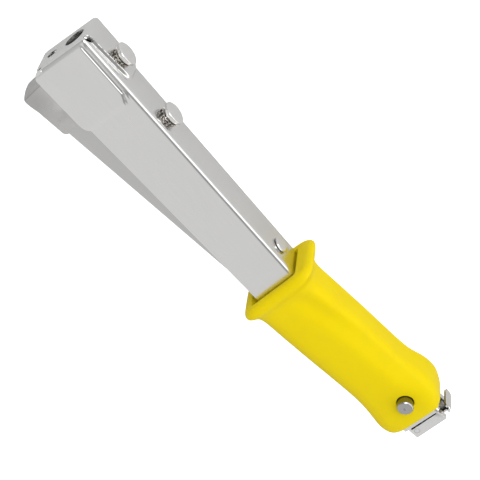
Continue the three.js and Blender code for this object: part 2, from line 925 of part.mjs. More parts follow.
function ringOf(x, top, bottom, half, radius) {
  const points = [];
  const middle = (top + bottom) / 2;
  const tall = (top - bottom) / 2;
  const corner = Math.min(radius, tall - 0.01, half - 0.01);
  for (let i = 0; i < ringPoints; i += 1) {
    const a = (2 * Math.PI * (i + 0.5)) / ringPoints;
    const c = Math.cos(a);
    const s = Math.sin(a);
    const z = Math.sign(c) * (half - corner) + corner * c;
    const y = middle + Math.sign(s) * (tall - corner) + corner * s;
    points.push(new THREE.Vector3(x - ringLean * y, y, z));
  }
  return points;
}

// stations of the outside: place along, height above the web, depth below the
// lower edge, how far outside the housing's sides, corner radius
const nearGuard = [
  [-1.1, 8.8, 8.1, 4.9, 8],
  [-0.2, 10.9, 10.5, 6.7, 9],
  [1.5, 12, 12.2, 7.7, 10],
  [3.6, 11.1, 12.5, 7.7, 10],
  [5.6, 8.5, 11.4, 5.7, 10],
  [8, 5.7, 9.4, 3.8, 9],
  [12, 4.6, 8.9, 3.1, 9],
];
// shares of the way from the last station by the guard to the first by the butt
const along = [
  [0.213, 4.9, 8.7, 2.9, 9],
  [0.493, 5.4, 8.1, 3, 9],
  [0.813, 5.3, 6.9, 3.2, 9],
];
const nearButt = [
  [-34.5, 5.5, 6.7, 3.3, 9],
  [-25.5, 7.9, 7.6, 3.3, 9],
  [-17.5, 8.6, 8.7, 3.3, 9],
  [-10.5, 6.2, 9.5, 3.1, 9],
  [-5.5, 4, 8.1, 2.5, 8],
  [-3.3, 2.3, 4.6, 1.7, 7],
];
const gripFrom = guardX + nearGuard[nearGuard.length - 1][0];
const gripTo = shellEndX + nearButt[0][0];

function station(x, above, below, beside, radius) {
  return [x, webTop(x) + above, lowerEdge(x) - below, guardHalf + beside, radius];
}

const sleeveOutside = [
  ...nearGuard.map(([x, ...rest]) => station(guardX + x, ...rest)),
  ...along.map(([t, ...rest]) => station(gripFrom + t * (gripTo - gripFrom), ...rest)),
  ...nearButt.map(([x, ...rest]) => station(shellEndX + x, ...rest)),
];

function sleeveInside(x) {
  const near = sleeveOutside[0][0] + 3;
  const extra = Math.max(0, 1 - (x - sleeveOutside[0][0]) / (near - sleeveOutside[0][0]));
  let top = webTop(x) + gap + 0.1;
  for (let i = 0; i < 3; i += 1) top = webTop(x - ringLean * top) + gap + 0.1;
  let low = -22;
  for (let i = 0; i < 4; i += 1) low = lowerEdge(x - ringLean * low) - gap - 0.4;
  const guardRoom = Math.max(0, 1 - (x - sleeveOutside[0][0]) / 14) * 4.2;
  return ringOf(x, top + extra * 0.5, low - guardRoom, guardHalf + gap + extra * 0.6, 0.5);
}

function sleeveSolid() {
  const outside = sleeveOutside.map((station) => ringOf(...station));
  const inside = sleeveOutside.map(([x]) => sleeveInside(x));
  const places = [];
  const corners = [];
  const add = (ring) => {
    const first = places.length / 3;
    ring.forEach((p) => places.push(p.x, p.y, p.z));
    return first;
  };
  const loop = [...outside.map(add), ...inside.reverse().map(add)];
  loop.forEach((a, k) => {
    const b = loop[(k + 1) % loop.length];
    for (let i = 0; i < ringPoints; i += 1) {
      const j = (i + 1) % ringPoints;
      corners.push(a + i, b + i, b + j, a + i, b + j, a + j);
    }
  });
  const geometry = new THREE.BufferGeometry();
  geometry.setAttribute("position", new THREE.Float32BufferAttribute(places, 3));
  geometry.setIndex(corners);
  return solid(geometry);
}

const stubRadius = 4.9;
let sleeve = sleeveSolid();
sleeve = cut(sleeve, bar(stubRadius + gap, -30, 30, "z", [pivot.x, pivot.y, 0], 24));
place("grip_sleeve", sleeve, "sleeve");

// ---- pivot stubs, one each side, leaving the magazine's inside clear ----
const stubEnd = guardHalf + 8.7;
["near", "far"].forEach((word, i) => {
  const shape = turned(
    [
      [0, channelHalf - sheet],
      [pinHole - gap, channelHalf - sheet],
      [pinHole - gap, guardHalf + gap],
      [stubRadius, guardHalf + gap],
      [stubRadius, stubEnd - 0.5],
      [stubRadius - 0.5, stubEnd],
      [0, stubEnd],
    ],
    "z",
    [0, 0, 0],
    28,
  );
  const set = i ? shape.rotate([180, 0, 0]) : shape;
  place("pivot_stub_" + word, set.translate([pivot.x, pivot.y, 0]), "steel");
});

// stand the whole on z = 0, centred over the origin
group.updateMatrixWorld(true);
const extent = new THREE.Box3().setFromObject(group, true);
const centre = extent.getCenter(new THREE.Vector3());
group.position.set(-centre.x, -centre.y, -extent.min.z);

export default group;
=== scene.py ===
import json
import math

import bmesh
import bpy
from mathutils import Matrix, Vector


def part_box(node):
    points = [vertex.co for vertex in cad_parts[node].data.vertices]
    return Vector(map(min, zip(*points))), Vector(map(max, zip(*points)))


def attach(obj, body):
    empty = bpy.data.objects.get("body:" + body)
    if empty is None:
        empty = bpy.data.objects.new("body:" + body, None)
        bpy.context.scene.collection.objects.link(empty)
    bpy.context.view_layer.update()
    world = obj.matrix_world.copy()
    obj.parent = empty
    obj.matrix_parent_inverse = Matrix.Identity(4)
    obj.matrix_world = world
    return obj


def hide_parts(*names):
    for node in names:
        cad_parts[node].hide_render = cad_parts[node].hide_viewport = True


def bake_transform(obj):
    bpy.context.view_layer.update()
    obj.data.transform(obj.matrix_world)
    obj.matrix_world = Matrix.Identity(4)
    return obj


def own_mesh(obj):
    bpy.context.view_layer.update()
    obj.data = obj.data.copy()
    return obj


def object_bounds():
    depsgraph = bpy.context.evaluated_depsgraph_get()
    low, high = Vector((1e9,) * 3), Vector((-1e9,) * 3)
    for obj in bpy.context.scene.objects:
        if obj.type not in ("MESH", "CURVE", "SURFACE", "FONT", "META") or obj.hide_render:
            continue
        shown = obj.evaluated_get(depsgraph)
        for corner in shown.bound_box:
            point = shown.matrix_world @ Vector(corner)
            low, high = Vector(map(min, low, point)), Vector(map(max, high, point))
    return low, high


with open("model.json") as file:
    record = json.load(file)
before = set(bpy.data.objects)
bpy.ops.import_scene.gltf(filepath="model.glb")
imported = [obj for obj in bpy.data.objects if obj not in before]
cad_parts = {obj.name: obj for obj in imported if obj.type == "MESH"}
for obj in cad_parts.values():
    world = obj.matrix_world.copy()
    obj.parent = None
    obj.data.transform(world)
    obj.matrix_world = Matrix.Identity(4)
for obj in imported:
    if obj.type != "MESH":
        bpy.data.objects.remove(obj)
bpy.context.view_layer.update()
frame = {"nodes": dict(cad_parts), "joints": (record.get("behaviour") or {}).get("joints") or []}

scene = bpy.context.scene
joints = {j["name"]: j for j in frame["joints"]}

# the tool's own frame in millimetres: X from the head's front, Y up to the web, Z to the near side
shellLow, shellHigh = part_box("housing_shell")
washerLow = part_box("lock_washer_rear")[0]
toolOrigin = Vector((shellLow.x, washerLow.y - 0.0003, (shellLow.z + shellHigh.z) / 2))
toRow = Matrix.Translation(toolOrigin) @ Matrix.Scale(0.001, 4)

# the magazine's frame: at its pivot, X rearwards along the rail
pivotPlace = Vector(joints["magazine_pivot"]["pos_m"])
railAxis = Vector(joints["rail_slide"]["axis"])
magazineAngle = math.atan2(railAxis.y, railAxis.x)
toMagazine = (
    Matrix.Translation(pivotPlace)
    @ Matrix.Rotation(magazineAngle, 4, "Z")
    @ Matrix.Scale(0.001, 4)
)


def inTool(point):
    # a point in the tool's own frame, in millimetres
    return [(a - b) * 1000 for a, b in zip(point, toolOrigin)]


def ease(a, b, x):
    t = min(1.0, max(0.0, (x - a) / (b - a)))
    return t * t * (3 - 2 * t)


def bump(centre, width, x):
    return math.exp(-(((x - centre) / width) ** 2))


def insideCorner(a, b, radius):
    # how far inside a rounded corner a point lies, from its depth past each side
    if a < radius and b < radius:
        return radius - math.hypot(radius - a, radius - b)
    return min(a, b)


# ---- shader groups ----


def newGroup(name, inputs, outputs):
    group = bpy.data.node_groups.new(name, "ShaderNodeTree")
    for label, kind, value in inputs:
        socket = group.interface.new_socket(label, in_out="INPUT", socket_type=kind)
        socket.default_value = value
    for label, kind in outputs:
        group.interface.new_socket(label, in_out="OUTPUT", socket_type=kind)
    start = group.nodes.new("NodeGroupInput")
    end = group.nodes.new("NodeGroupOutput")
    return group, start, end


def addNode(tree, kind, settings=None, inputs=None):
    node = tree.nodes.new(kind)
    for key, value in (settings or {}).items():
        setattr(node, key, value)
    for key, value in (inputs or {}).items():
        if isinstance(value, bpy.types.NodeSocket):
            tree.links.new(value, node.inputs[key])
        else:
            node.inputs[key].default_value = value
    return node


def ramp(tree, factor, stops):
    node = addNode(tree, "ShaderNodeValToRGB", inputs={"Fac": factor})
    elements = node.color_ramp.elements
    while len(elements) < len(stops):
        elements.new(0.5)
    for element, (place, value) in zip(elements, stops):
        element.position = place
        element.color = (value, value, value, 1)
    return node.outputs["Color"]


def maths(tree, operation, *values, clamp=False):
    settings = {"operation": operation, "use_clamp": clamp}
    return addNode(tree, "ShaderNodeMath", settings, dict(enumerate(values))).outputs[0]


def noise(tree, where, scale, detail=2.0, roughness=0.5):
    inputs = {"Vector": where, "Scale": scale, "Detail": detail, "Roughness": roughness}
    return addNode(tree, "ShaderNodeTexNoise", inputs=inputs).outputs["Fac"]


def mixColors(tree, share, first, second):
    inputs = {"Factor": share, 6: first, 7: second}
    return addNode(tree, "ShaderNodeMix", {"data_type": "RGBA"}, inputs).outputs[2]


def scaled(tree, vector, factor):
    inputs = {0: vector, "Scale": factor}
    return addNode(tree, "ShaderNodeVectorMath", {"operation": "SCALE"}, inputs).outputs["Vector"]


def objectPlace(tree):
    return addNode(tree, "ShaderNodeTexCoord").outputs["Object"]


def newMaterial(name):
    material = bpy.data.materials.new(name)
    material.use_nodes = True
    tree = material.node_tree
    return material, tree, tree.nodes["Principled BSDF"]


def setRelief(tree, shader, height, strength, depth):
    inputs = {"Height": height, "Strength": strength, "Distance": depth}
    bumps = addNode(tree, "ShaderNodeBump", inputs=inputs)
    tree.links.new(bumps.outputs["Normal"], shader.inputs["Normal"])


plate = {
    "cloudScale": 55.0,
    "patchScale": 120.0,
    "scratchScale": 160.0,
    "drawnScale": 900.0,
    "fineScale": 1400.0,
    "drawnTone": 0.05,
    "cloudRough": 0.16,
    "scratchRough": 0.2,
    "drawnHeight": 0.5,
    "fineHeight": 0.25,
    "scratchHeight": -0.8,
    "reliefDepth": 0.0004,
    "edgeColor": (0.92, 0.91, 0.89, 1),
}


def makePlateGroup():
    # cloudy tone, fine drawn lines along one way, broken scratches and worn edges
    group, start, end = newGroup(
        "sheetFinish",
        [
            ("Stretch", "NodeSocketVector", (1, 1, 1)),
            ("Cloud", "NodeSocketFloat", 0.06),
            ("Scratch", "NodeSocketFloat", 0.3),
            ("Wear", "NodeSocketFloat", 0.5),
        ],
        [
            ("Tone", "NodeSocketFloat"),
            ("Roughness", "NodeSocketFloat"),
            ("Height", "NodeSocketFloat"),
            ("Edge", "NodeSocketFloat"),
        ],
    )
    where = objectPlace(group)
    stretched = addNode(
        group,
        "ShaderNodeVectorMath",
        {"operation": "MULTIPLY"},
        {0: where, 1: start.outputs["Stretch"]},
    ).outputs["Vector"]
    cloud = noise(group, where, plate["cloudScale"], 4.0)
    drawn = noise(group, stretched, plate["drawnScale"], 3.0, 0.6)
    fine = noise(group, where, plate["fineScale"])
    patches = noise(group, where, plate["patchScale"])
    cells = addNode(
        group,
        "ShaderNodeTexVoronoi",
        {"feature": "DISTANCE_TO_EDGE"},
        {"Vector": stretched, "Scale": plate["scratchScale"], "Randomness": 1.0},
    ).outputs["Distance"]
    lines = ramp(group, cells, [(0.0, 1.0), (0.012, 0.0), (1.0, 0.0)])
    some = ramp(group, patches, [(0.0, 0.0), (0.56, 0.0), (0.64, 1.0)])
    scratches = maths(group, "MULTIPLY", lines, some)
    deep = maths(group, "MULTIPLY", scratches, start.outputs["Scratch"])
    cloud = maths(group, "SUBTRACT", cloud, 0.5)

    tone = maths(group, "MULTIPLY", cloud, start.outputs["Cloud"])
    drawnTone = maths(group, "SUBTRACT", drawn, 0.5)
    tone = maths(group, "MULTIPLY_ADD", drawnTone, plate["drawnTone"], tone)
    group.links.new(tone, end.inputs["Tone"])

    rough = maths(group, "MULTIPLY", cloud, plate["cloudRough"])
    rough = maths(group, "MULTIPLY_ADD", deep, plate["scratchRough"], rough)
    group.links.new(rough, end.inputs["Roughness"])

    height = maths(group, "MULTIPLY", drawn, plate["drawnHeight"])
    height = maths(group, "MULTIPLY_ADD", fine, plate["fineHeight"], height)
    height = maths(group, "MULTIPLY_ADD", deep, plate["scratchHeight"], height)
    group.links.new(height, end.inputs["Height"])

    pointed = addNode(group, "ShaderNodeNewGeometry").outputs["Pointiness"]
    edge = ramp(group, pointed, [(0.0, 0.0), (0.53, 0.0), (0.6, 1.0)])
    worn = maths(group, "MULTIPLY", edge, start.outputs["Wear"])
    group.links.new(maths(group, "MULTIPLY", worn, patches), end.inputs["Edge"])
    return group


plateGroup = makePlateGroup()


def metal(name, color, roughness, stretch, cloud, scratch, wear, relief):
    material, tree, shader = newMaterial(name)
    shader.inputs["Metallic"].default_value = 1.0
    finish = addNode(
        tree,
        "ShaderNodeGroup",
        {"node_tree": plateGroup},
        {"Stretch": stretch, "Cloud": cloud, "Scratch": scratch, "Wear": wear},
    ).outputs
    base = addNode(tree, "ShaderNodeRGB").outputs[0]
    base.default_value = (*color, 1)
    toned = scaled(tree, base, maths(tree, "ADD", finish["Tone"], 1.0))
    worn = mixColors(tree, finish["Edge"], toned, plate["edgeColor"])
    tree.links.new(worn, shader.inputs["Base Color"])
    rough = maths(tree, "ADD", finish["Roughness"], roughness, clamp=True)
    tree.links.new(rough, shader.inputs["Roughness"])
    setRelief(tree, shader, finish["Height"], relief, plate["reliefDepth"])
    return material


# each: colour, roughness, stretch of the drawn lines, cloud, scratch, wear and relief
metals = {
    "nickelPlate": ((0.79, 0.785, 0.775), 0.22, (0.12, 1, 1), 0.07, 0.25, 0.5, 0.03),
    "brightNickel": ((0.82, 0.815, 0.80), 0.2, (1, 1, 1), 0.06, 0.2, 0.5, 0.03),
    "magazineSteel": ((0.60, 0.595, 0.585), 0.3, (0.1, 1, 1), 0.1, 0.4, 0.6, 0.05),
    "noseSteel": ((0.46, 0.455, 0.445), 0.26, (0.1, 1, 1), 0.14, 0.4, 0.6, 0.05),
    "plainSteel": ((0.62, 0.61, 0.60), 0.3, (1, 1, 0.2), 0.12, 0.5, 0.6, 0.06),
    "darkSteel": ((0.20, 0.19, 0.18), 0.42, (0.2, 1, 1), 0.4, 0.6, 0.8, 0.1),
    "springSteel": ((0.42, 0.43, 0.46), 0.32, (0.2, 1, 1), 0.2, 0.4, 0.5, 0.05),
    "washerSteel": ((0.30, 0.26, 0.21), 0.45, (1, 1, 1), 0.9, 0.8, 0.9, 0.3),
    # the pins' dark colour is painted shade, for the shade inside the grip's holes
    "pinSteelPaintedShade": ((0.24, 0.235, 0.23), 0.24, (1, 1, 0.15), 0.16, 0.6, 0.5, 0.06),
}
finishes = {name: metal(name, *values) for name, values in metals.items()}

# painted shade: the pins are painted dark along their sides, standing in for the shade inside the
# grip's holes, and lighter at their ends
pinEnd = {"color": (0.46, 0.455, 0.45, 1), "from": 0.0009, "to": 0.0003}


def paintPinSideShade(material):
    tree = material.node_tree
    baseColor = tree.nodes["Principled BSDF"].inputs["Base Color"]
    # the dark base is painted shade on the sides; near each end it turns to the lighter end colour
    paintedSideShade = baseColor.links[0].from_socket
    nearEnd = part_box("pivot_stub_near")[1].z
    middle = (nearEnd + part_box("pivot_stub_far")[0].z) / 2
    place = addNode(tree, "ShaderNodeSeparateXYZ", inputs={0: objectPlace(tree)})
    away = maths(tree, "ABSOLUTE", maths(tree, "SUBTRACT", place.outputs["Z"], middle))
    length = nearEnd - middle
    share = addNode(
        tree,
        "ShaderNodeMapRange",
        inputs={
            "Value": away,
            "From Min": length - pinEnd["from"],
            "From Max": length - pinEnd["to"],
        },
    ).outputs["Result"]
    tree.links.new(mixColors(tree, share, paintedSideShade, pinEnd["color"]), baseColor)


paintPinSideShade(finishes["pinSteelPaintedShade"])

vinyl = {
    "color": (0.85, 0.655, 0.002, 1),
    "lightColor": (0.89, 0.70, 0.004, 1),
    "dirtColor": (0.66, 0.49, 0.02, 1),
    "dirt": 0.16,
    "roughness": 0.38,
    "roughSpread": 0.16,
    "specular": 0.09,
    "subsurface": 0.05,
    "subsurfaceReach": (0.004, 0.002, 0.0005),
    "broadScale": 28.0,
    "smudgeScale": 110.0,
    "grainScale": 900.0,
    "relief": 0.10,
    "reliefDepth": 0.0005,
}


def makeVinyl():
    material, tree, shader = newMaterial("yellowVinyl")
    shader.inputs["Subsurface Weight"].default_value = vinyl["subsurface"]
    shader.inputs["Subsurface Radius"].default_value = vinyl["subsurfaceReach"]
    shader.inputs["Specular IOR Level"].default_value = vinyl["specular"]
    where = objectPlace(tree)
    broad = noise(tree, where, vinyl["broadScale"], 3.0)
    grain = noise(tree, where, vinyl["grainScale"], 3.0)
    smudge = noise(tree, where, vinyl["smudgeScale"], 5.0)
    tint = mixColors(tree, broad, vinyl["color"], vinyl["lightColor"])
    mask = ramp(tree, smudge, [(0.0, 0.0), (0.52, 0.0), (0.8, vinyl["dirt"])])
    dirty = mixColors(tree, mask, tint, vinyl["dirtColor"])
    tree.links.new(dirty, shader.inputs["Base Color"])
    rough = maths(tree, "MULTIPLY_ADD", smudge, vinyl["roughSpread"], vinyl["roughness"])
    tree.links.new(rough, shader.inputs["Roughness"])
    height = maths(tree, "MULTIPLY_ADD", broad, 1.5, grain)
    setRelief(tree, shader, height, vinyl["relief"], vinyl["reliefDepth"])
    return material


rubber = {
    "color": (0.012, 0.012, 0.013, 1),
    "lightColor": (0.04, 0.04, 0.042, 1),
    "roughness": 0.6,
    "roughSpread": 0.2,
    "speckScale": 700.0,
    "relief": 0.3,
    "reliefDepth": 0.0003,
}


def makeRubber():
    material, tree, shader = newMaterial("blackRubber")
    speck = noise(tree, objectPlace(tree), rubber["speckScale"], 4.0)
    tint = mixColors(tree, speck, rubber["color"], rubber["lightColor"])
    tree.links.new(tint, shader.inputs["Base Color"])
    rough = maths(tree, "MULTIPLY_ADD", speck, rubber["roughSpread"], rubber["roughness"])
    tree.links.new(rough, shader.inputs["Roughness"])
    setRelief(tree, shader, speck, rubber["relief"], rubber["reliefDepth"])
    return material


finishes["yellowVinyl"] = makeVinyl()
finishes["blackRubber"] = makeRubber()
print("materials ready")

# ---- making pieces ----


def objectOf(name, bm):
    mesh = bpy.data.meshes.new(name)
    bm.to_mesh(mesh)
    bm.free()
    made = bpy.data.objects.new(name, mesh)
    scene.collection.objects.link(made)
    return made


def bake(piece):
    # the modifiers' result becomes the mesh
    bpy.context.view_layer.update()
    graph = bpy.context.evaluated_depsgraph_get()
    mesh = bpy.data.meshes.new_from_object(piece.evaluated_get(graph))
    piece.modifiers.clear()
    piece.data = mesh
    return piece


def trim(piece, cutter, operation="DIFFERENCE"):
    modifier = piece.modifiers.new("trim", "BOOLEAN")
    modifier.object = cutter
    modifier.operation = operation
    modifier.solver = "MANIFOLD"
    bake(piece)
    bpy.data.objects.remove(cutter)
    return piece


def settle(piece, finish, body, nodes, sharpAngle=35, weighted=True):
    piece.data.materials.clear()
    piece.data.materials.append(finishes[finish])
    piece.data.shade_smooth()
    piece.data.set_sharp_from_angle(angle=math.radians(sharpAngle))
    if weighted:
        modifier = piece.modifiers.new("evenShading", "WEIGHTED_NORMAL")
        modifier.keep_sharp = True
    if body:
        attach(piece, body)
    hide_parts(*nodes)
    return piece


def bevelEdges(bm, edges, width, segments, clamp=False):
    bmesh.ops.bevel(
        bm,
        geom=edges,
        offset=width,
        offset_type="OFFSET",
        affect="EDGES",
        segments=segments,
        profile=0.5,
        material=-1,
        clamp_overlap=clamp,
    )


def cutAcross(bm, point, normal, gap=1e-4):
    parts = list(bm.verts) + list(bm.edges) + list(bm.faces)
    bmesh.ops.bisect_plane(bm, geom=parts, dist=gap, plane_co=point, plane_no=normal)


def curve(a, b, c, steps=8):
    # a soft corner from a to c, drawn towards b
    a, b, c = Vector(a), Vector(b), Vector(c)
    shares = [i / steps for i in range(steps + 1)]
    return [tuple((1 - t) ** 2 * a + 2 * t * (1 - t) * b + t * t * c) for t in shares]


def prism(name, outline, low, high):
    # an outline in X and Y, drawn out along Z
    bm = bmesh.new()
    face = bm.faces.new([bm.verts.new((a, b, low)) for a, b in outline])
    drawn = bmesh.ops.extrude_face_region(bm, geom=[face])
    moved = [g for g in drawn["geom"] if isinstance(g, bmesh.types.BMVert)]
    bmesh.ops.translate(bm, verts=moved, vec=(0, 0, high - low))
    bmesh.ops.recalc_face_normals(bm, faces=bm.faces)
    return objectOf(name, bm)


def rounds(bm, radius, low, high, axis, centre, segments=48):
    # a round bar added to a cutter
    made = bmesh.ops.create_cone(
        bm, cap_ends=True, segments=segments, radius1=radius, radius2=radius, depth=high - low
    )["verts"]
    turn = {"x": Matrix.Rotation(math.pi / 2, 4, "Y"), "y": Matrix.Rotation(math.pi / 2, 4, "X")}
    if axis in turn:
        bmesh.ops.transform(bm, matrix=turn[axis], verts=made)
    middle = Vector(centre)
    middle["xyz".index(axis)] = (low + high) / 2
    bmesh.ops.translate(bm, verts=made, vec=middle)
    return made


def block(bm, low, high):
    made = bmesh.ops.create_cube(bm, size=1)["verts"]
    size = Vector(high) - Vector(low)
    bmesh.ops.scale(bm, vec=size, verts=made)
    bmesh.ops.translate(bm, vec=(Vector(low) + Vector(high)) / 2, verts=made)
    return made


def lathe(profile, axis, centre, steps=64):
    # pairs of radius and height, spun about an axis through the centre
    bm = bmesh.new()
    verts = [bm.verts.new((r, 0, h)) for r, h in profile]
    edges = [bm.edges.new(pair) for pair in zip(verts, verts[1:])]
    bmesh.ops.spin(
        bm,
        geom=verts + edges,
        axis=(0, 0, 1),
        cent=(0, 0, 0),
        angle=2 * math.pi,
        steps=steps,
        use_merge=True,
        use_duplicate=False,
    )
    bmesh.ops.remove_doubles(bm, verts=bm.verts, dist=1e-4)
    bmesh.ops.recalc_face_normals(bm, faces=bm.faces)
    if axis == "y":
        bmesh.ops.rotate(bm, verts=bm.verts, matrix=Matrix.Rotation(-math.pi / 2, 3, "X"))
    bmesh.ops.translate(bm, verts=bm.verts, vec=centre)
    return bm


def roundedProfile(points, radius, steps=4):
    # softens the corners of a lathe profile, its two ends left as they are
    out = [points[0]]
    for before, here, after in zip(points, points[1:], points[2:]):
        a, b, c = Vector(before), Vector(here), Vector(after)
        r = min(radius, (a - b).length * 0.45, (c - b).length * 0.45)
        start, end = b + (a - b).normalized() * r, b + (c - b).normalized() * r
        for i in range(steps + 1):
            t = i / steps
            out.append(tuple((1 - t) ** 2 * start + 2 * t * (1 - t) * b + t * t * end))
    out.append(points[-1])
    return out


def moveBy(bm, matrix):
    bmesh.ops.transform(bm, matrix=matrix, verts=bm.verts)
    return bm


# ---- housing shell ----
housing = {
    "headHalf": 12.95,
    "guardHalf": 11.7,
    "guardX": 172.0,
    "bendX": 175.0,
    "webRise": 12.66,
    "lowerRise": 13.84,
    "endX": 293.5,
    "endGap": 0.8,
    "sheet": 1.2,
    "fold": 2.4,
    "foldSegments": 7,
    "headDepth": 35.4,
    "neckDepth": 31.7,
    "guardDepth": 26.5,
    "lobeRearX": 41.0,
    "lobeTop": -30.6,
    "slitTop": -29.6,
    "tabDepth": 33.0,
    "tabInset": 3.05,
    "padHigh": 2.0,
    "padRear": 34.0,
    "padNear": 10.3,
    "padLean": 0.13,
    "padFar": -13.4,
    "padCorner": 4.5,
    "sidePad": 0.6,
    "grooveY": -3.95,
    "grooveDeep": 0.38,
    "ribY": -2.8,
    "ribHigh": 0.42,
    "studX": (22.2, 61.9),
    "studHoleR": 3.1,
    "rivetX": 157.0,
    "rivetHoleR": 2.3,
    "pinHoleR": 4.2,
    "pinHolePlace": (274, 0.9, 0),
    # radius, height and smoothness of the two holes in the front
    "frontHoles": ((6.0, -9.6, 64), (3.1, -25, 48)),
    "crescentPlace": (3.1, 0, 10.2),
}
webSlope = housing["webRise"] / (housing["endX"] - housing["bendX"])
lowerSlope = housing["lowerRise"] / (housing["endX"] - housing["guardX"])


def halfAt(x):
    share = min(max(x, 0), housing["guardX"]) / housing["guardX"]
    return housing["headHalf"] + (housing["guardHalf"] - housing["headHalf"]) * share


def webTop(x):
    return max(0.0, x - housing["bendX"]) * webSlope


def lowerEdge(x):
    if x < housing["guardX"]:
        share = (x - housing["lobeRearX"]) / (housing["guardX"] - housing["lobeRearX"])
        return -housing["neckDepth"] + share * (housing["neckDepth"] - housing["guardDepth"])
    return -housing["guardDepth"] + (x - housing["guardX"]) * lowerSlope


def webPad(x, z):
    near = housing["padNear"] - housing["padLean"] * min(x, 32)
    far = housing["padFar"] + 2.2 * x / 34
    side = min(near - z, z - far)
    depth = insideCorner(side, housing["padRear"] - x, housing["padCorner"])
    return housing["padHigh"] * ease(-0.3, 0.6 + 1.2 * ease(24, 34, x), depth)


def sidePress(x, y):
    below = housing["grooveY"] - y
    bend = 2.8 * ease(33, 41, x)
    front = ease(1.2, 3.2, x)
    rear = 1 - ease(38.6, 41.4, x + 0.03 * (y + 20))
    out = housing["sidePad"] * ease(-0.2 + bend, 0.5 + bend, below) * rear
    ends = ease(1.8, 3.6, x) * (1 - ease(38.5, 41.0, x))
    groove = housing["grooveDeep"] * bump(housing["grooveY"] - bend, 0.55, y) * ends
    rib = housing["ribHigh"] * bump(housing["ribY"] - 0.6 * bend, 0.55, y)
    rib *= ease(2.2, 4.2, x) * (1 - ease(35.0, 40.0, x))
    return (out + rib - groove) * front


def sideOutline():
    h = housing
    end = h["endX"] - h["endGap"]
    low = lowerEdge(end)
    high = webTop(end) + 3
    points = [(-2, 6), (-2, -h["headDepth"])]
    rear = (h["lobeRearX"], lowerEdge(h["lobeRearX"]))
    points += curve((34.0, -34.5), (38.9, -34.2), rear)
    points += [
        (h["guardX"], lowerEdge(h["guardX"])),
        (end - low * lowerSlope, low),
        (end - high * lowerSlope, high),
        (h["bendX"], 6),
    ]
    return points


